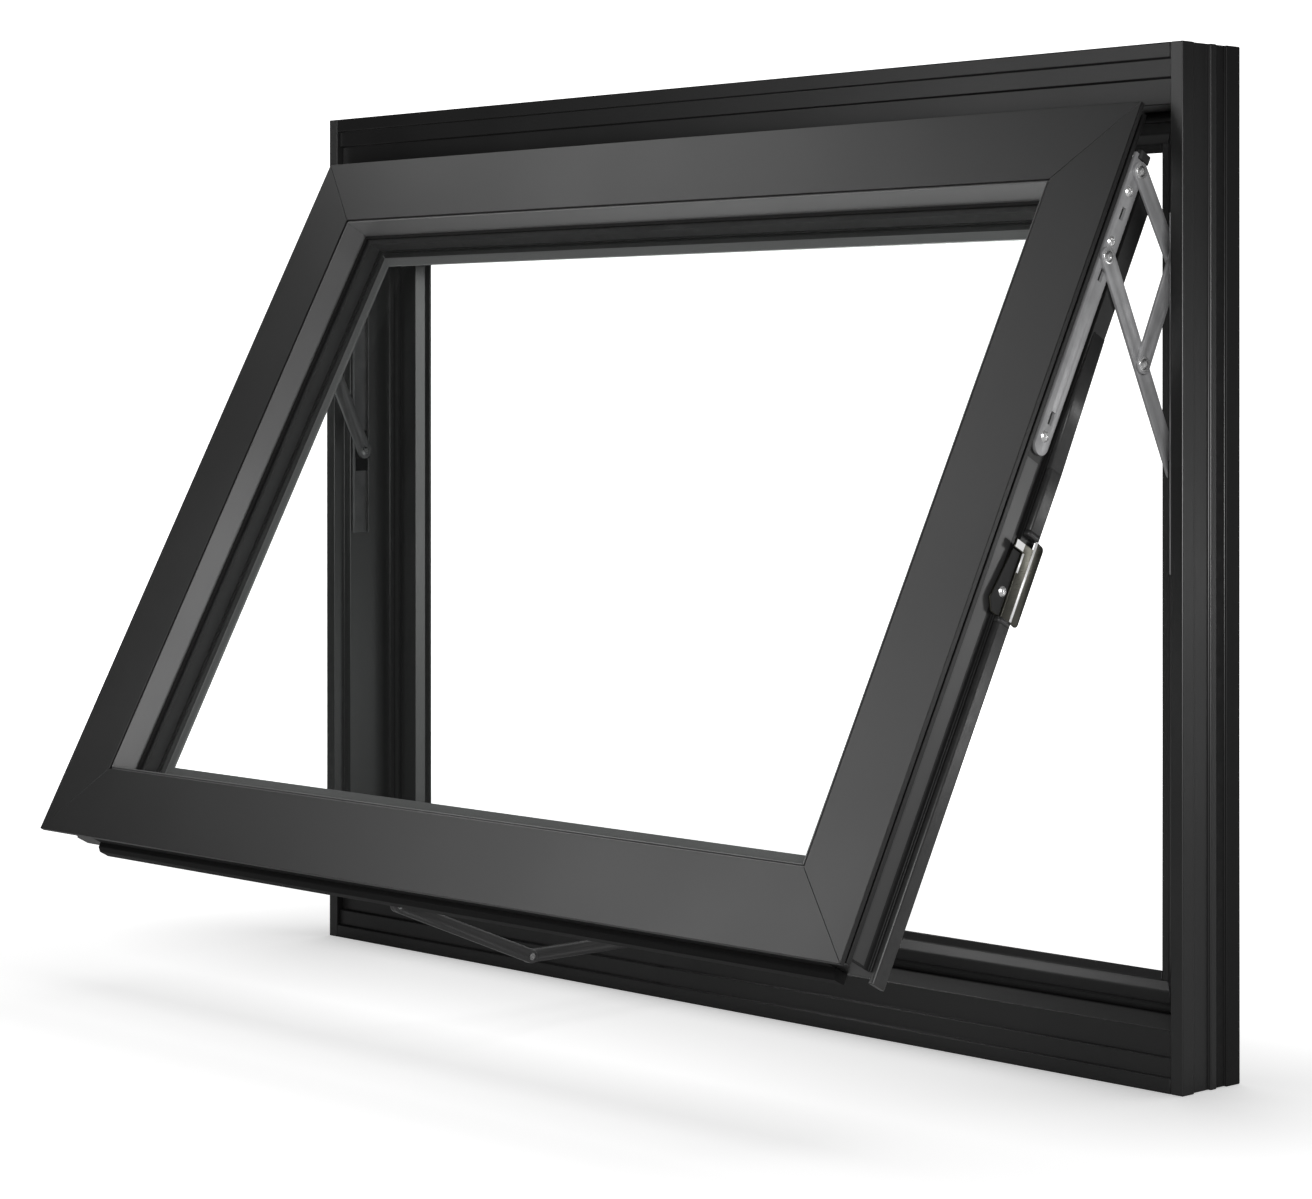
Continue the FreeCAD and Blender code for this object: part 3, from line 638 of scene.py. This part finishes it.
# The floor: its reach, the footprint of the frame on it, and its glow at the foot, near by and far off; the
# dimmer glow at the foot is a painted shadow
FLOOR_HALF = 60.0
HALF_FOOTPRINT = (("X", 0.59), ("Y", 0.04))
FOOT_GLOW_IN_PAINTED_SHADOW = 0.42
GLOW_PAST_PAINTED_SHADOW = 0.68
PAINTED_SHADOW_REACH = 0.25
FAR_GLOW = 1.0
FAR_START = 0.5
FAR_REACH = 2.2
FLOOR_TONES = (0.90, 0.92)

# Light of the surround where it is looked at, and where it lights the window
SURROUND_SEEN = 1.5
SURROUND_LIGHT = 0.03

# The lights: name, group of pieces, place, what it points at, width and height, watts
LIGHTS = (
    ("overhead", "floor", (0.1, 0.9, 3.2), (0.1, -0.3, 0.0), (5.0, 4.5), 86),
    ("sash_key", "sash", (-0.85, -1.15, 1.48), (0.35, -0.25, 0.50), (0.35, 1.5), 3.4),
    ("sash_wide", "sash", (-1.29, -0.96, 1.48), (0.05, -0.25, 0.50), (0.35, 1.5), 0.9),
    ("sash_low", "sash", (-1.05, -1.10, 1.05), (0.15, -0.35, 0.25), (0.6, 0.5), 0.6),
    ("sash_top", "sash", (-1.2, -0.48, 1.75), (0.1, 0.0, 0.1), (0.6, 0.6), 2.8),
    ("front_key", "window", (-0.45, -1.25, 0.75), (0.50, 0.0, 0.75), (0.35, 1.2), 5.6),
    ("right_back", "window", (1.73, 1.12, 0.38), (0.57, -0.02, 0.45), (0.45, 0.35), 2.4),
    ("camera_fill", "window", (2.6, -2.7, 1.2), (0.0, 0.0, 0.5), (1.4, 1.2), 40),
    ("jamb_edges", "jambs", (2.2, -2.2, 0.80), (0.0, 0.0, 0.60), (0.6, 0.6), 110),
    ("bead_low", "window", (-0.02, 0.16, 0.22), (-0.48, -0.30, 0.27), (0.25, 0.25), 0.8),
    ("bead_high", "window", (0.75, 1.05, 0.85), (-0.48, -0.10, 0.70), (0.6, 0.5), 0.45),
    ("bead_side", "left_bead", (0.16, 0.04, 0.28), (-0.48, -0.33, 0.30), (0.3, 0.25), 2.8),
    ("bead_under", "top_lip", (-0.10, 0.16, 0.17), (0.35, -0.09, 0.77), (0.5, 0.3), 3.8),
    ("sill_bevel", "sill", (-0.1, -0.12, 0.58), (0.35, 0.0, 0.07), (0.6, 0.1), 1.7),
    ("fittings_light", "right_fittings", (1.6, -0.9, 0.9), (0.56, -0.08, 0.66), (0.5, 0.5), 14),
)

# Lights that show in a sheen alone
SHEEN_LIGHTS = ("jamb_edges",)

# The camera, worked out from the photograph's corner points
IMAGE_WIDTH = 1312
IMAGE_HEIGHT = 1199
FOCAL_PIXELS = 3394.4
HORIZON_PIXEL = 390.5
SENSOR = 36.0
CAMERA_PLACE = (2.386, -2.352, 0.6017)
CAMERA_TURN = math.radians(46.70)
CAMERA_REACH = 200


def maths(tree, operation, first, second):
    """One sum of two values, each a number or another node's output."""
    node = tree.nodes.new("ShaderNodeMath")
    node.operation = operation
    for socket, value in zip(node.inputs, (first, second)):
        if isinstance(value, float):
            socket.default_value = value
        else:
            tree.links.new(value, socket)
    return node.outputs["Value"]


def spread(tree, value, start, end, low, high):
    """A value's range from start to end laid over low to high."""
    node = tree.nodes.new("ShaderNodeMapRange")
    for name, number in (("From Min", start), ("From Max", end), ("To Min", low), ("To Max", high)):
        node.inputs[name].default_value = number
    tree.links.new(value, node.inputs["Value"])
    return node.outputs["Result"]


def seen(tree):
    """One where the studio is looked at, straight or through the glass, and nought where it lights things."""
    path = tree.nodes.new("ShaderNodeLightPath")
    looked_at = maths(tree, "MAXIMUM", path.outputs["Is Camera Ray"], path.outputs["Is Transmission Ray"])
    turns = maths(tree, "ADD", path.outputs["Glossy Depth"], path.outputs["Diffuse Depth"])
    straight = maths(tree, "LESS_THAN", turns, 0.5)
    return maths(tree, "MULTIPLY", looked_at, straight)


def floor_glow_with_painted_shadow(tree):
    """Glow that grows with the distance from the foot of the window, where the floor is looked at; its
    dimming near the foot is a painted shadow.
    """
    place = tree.nodes.new("ShaderNodeTexCoord")
    split = tree.nodes.new("ShaderNodeSeparateXYZ")
    tree.links.new(place.outputs["Object"], split.inputs["Vector"])
    off = []
    for axis, half in HALF_FOOTPRINT:
        beyond = maths(tree, "SUBTRACT", maths(tree, "ABSOLUTE", split.outputs[axis], 0.0), half)
        off.append(maths(tree, "POWER", maths(tree, "MAXIMUM", beyond, 0.0), 2.0))
    away = maths(tree, "POWER", maths(tree, "ADD", off[0], off[1]), 0.5)
    # A painted shadow: the glow is dimmer at the foot of the window
    painted_shadow = spread(tree, away, 0.0, PAINTED_SHADOW_REACH, FOOT_GLOW_IN_PAINTED_SHADOW, GLOW_PAST_PAINTED_SHADOW)
    far = spread(tree, away, FAR_START, FAR_REACH, 0.0, FAR_GLOW)
    return maths(tree, "MULTIPLY", maths(tree, "ADD", painted_shadow, far), seen(tree))


def floor():
    """A plain pale floor that glows to white away from the window, with a painted shadow at the window's
    foot.
    """
    material, tree, shader = new_material("studio_floor")
    tint = noise(tree, FLOOR_TINT_SCALE)
    tree.links.new(grey_ramp(tree, tint, FLOOR_TONES), shader.inputs["Base Color"])
    shader.inputs["Roughness"].default_value = 0.9
    shader.inputs["Specular IOR Level"].default_value = 0.1
    shader.inputs["Emission Color"].default_value = WHITE
    tree.links.new(floor_glow_with_painted_shadow(tree), shader.inputs["Emission Strength"])
    mesh = bpy.data.meshes.new("studio_floor")
    corners = [(x * FLOOR_HALF, y * FLOOR_HALF, 0) for x, y in ((-1, -1), (1, -1), (1, 1), (-1, 1))]
    mesh.from_pydata(corners, [], [(0, 1, 2, 3)])
    mesh.materials.append(material)
    piece = bpy.data.objects.new("studio_floor", mesh)
    bpy.context.scene.collection.objects.link(piece)
    return piece


def world_light():
    """A white surround to look at, and a dim grey one to light by."""
    world = bpy.data.worlds.new("studio")
    world.use_nodes = True
    tree = world.node_tree
    white = tree.nodes["Background"]
    white.inputs["Color"].default_value = WHITE
    white.inputs["Strength"].default_value = SURROUND_SEEN
    dim = add_node(tree, "ShaderNodeBackground", Color=WHITE, Strength=SURROUND_LIGHT)
    mix = tree.nodes.new("ShaderNodeMixShader")
    tree.links.new(seen(tree), mix.inputs["Fac"])
    tree.links.new(dim.outputs["Background"], mix.inputs[1])
    tree.links.new(white.outputs["Background"], mix.inputs[2])
    tree.links.new(mix.outputs["Shader"], tree.nodes["World Output"].inputs["Surface"])
    bpy.context.scene.world = world


def light_group(name, state, members):
    """A set of pieces that a light reaches alone, or leaves out."""
    group = bpy.data.collections.new(name)
    for member in members:
        group.objects.link(member)
    for link in group.collection_objects:
        link.light_linking.link_state = state
    return group


def light_groups(panes, ground):
    """The groups of pieces that the lights name, which give each piece its tone in the photograph."""
    def named(*starts):
        return [piece for name, piece in pieces.items() if name.startswith(starts)]

    head, sill = named("frame_head"), named("frame_sill")
    left_stay = named("left_stay") + [nodes["left_stay_rivets"]]
    return {
        "window": light_group("all_but_panes_and_left_stay", "EXCLUDE", panes + [ground] + left_stay),
        "sash": light_group("sash_and_jambs", "EXCLUDE", panes + [ground] + head + sill),
        "floor": light_group("floor_alone", "INCLUDE", [ground]),
        "right_fittings": light_group("right_fittings_alone", "INCLUDE", named("right_stay", "right_keeper")),
        "jambs": light_group("jambs_alone", "INCLUDE", named("frame_left_jamb", "frame_right_jamb")),
        "sill": light_group("sill_alone", "INCLUDE", sill),
        "top_lip": light_group("top_lip_alone", "INCLUDE", named("sash_top_rail", "bead_top")),
        "left_bead": light_group("left_bead_alone", "INCLUDE", named("bead_left")),
    }


def area_light(name, receivers, place, target, size, power):
    """A soft light for one group of pieces, not seen itself."""
    lamp = bpy.data.lights.new(name, "AREA")
    lamp.shape = "RECTANGLE"
    lamp.size, lamp.size_y = size
    lamp.energy = power
    light = bpy.data.objects.new(name, lamp)
    light.location = place
    light.rotation_euler = (Vector(target) - Vector(place)).to_track_quat("-Z", "Y").to_euler()
    light.visible_camera = False
    light.visible_transmission = False
    light.visible_diffuse = name not in SHEEN_LIGHTS
    light.light_linking.receiver_collection = receivers
    bpy.context.scene.collection.objects.link(light)


def studio(panes):
    ground = floor()
    world_light()
    groups = light_groups(panes, ground)
    for name, group, place, target, size, power in LIGHTS:
        area_light(name, groups[group], place, target, size, power)
    bpy.context.scene.view_settings.view_transform = "Standard"


def camera():
    """The photograph's view."""
    data = bpy.data.cameras.new("photo_view")
    data.sensor_width = SENSOR
    data.lens = FOCAL_PIXELS / IMAGE_WIDTH * SENSOR
    data.shift_y = (HORIZON_PIXEL - IMAGE_HEIGHT / 2) / IMAGE_WIDTH
    data.clip_end = CAMERA_REACH
    eye = bpy.data.objects.new("photo_view", data)
    eye.location = CAMERA_PLACE
    eye.rotation_euler = (math.pi / 2, 0, CAMERA_TURN)
    bpy.context.scene.collection.objects.link(eye)
    bpy.context.scene.camera = eye


dress_frame()
glass_panes = dress_sash()
dress_fittings()
small_pieces()
studio(glass_panes)
camera()
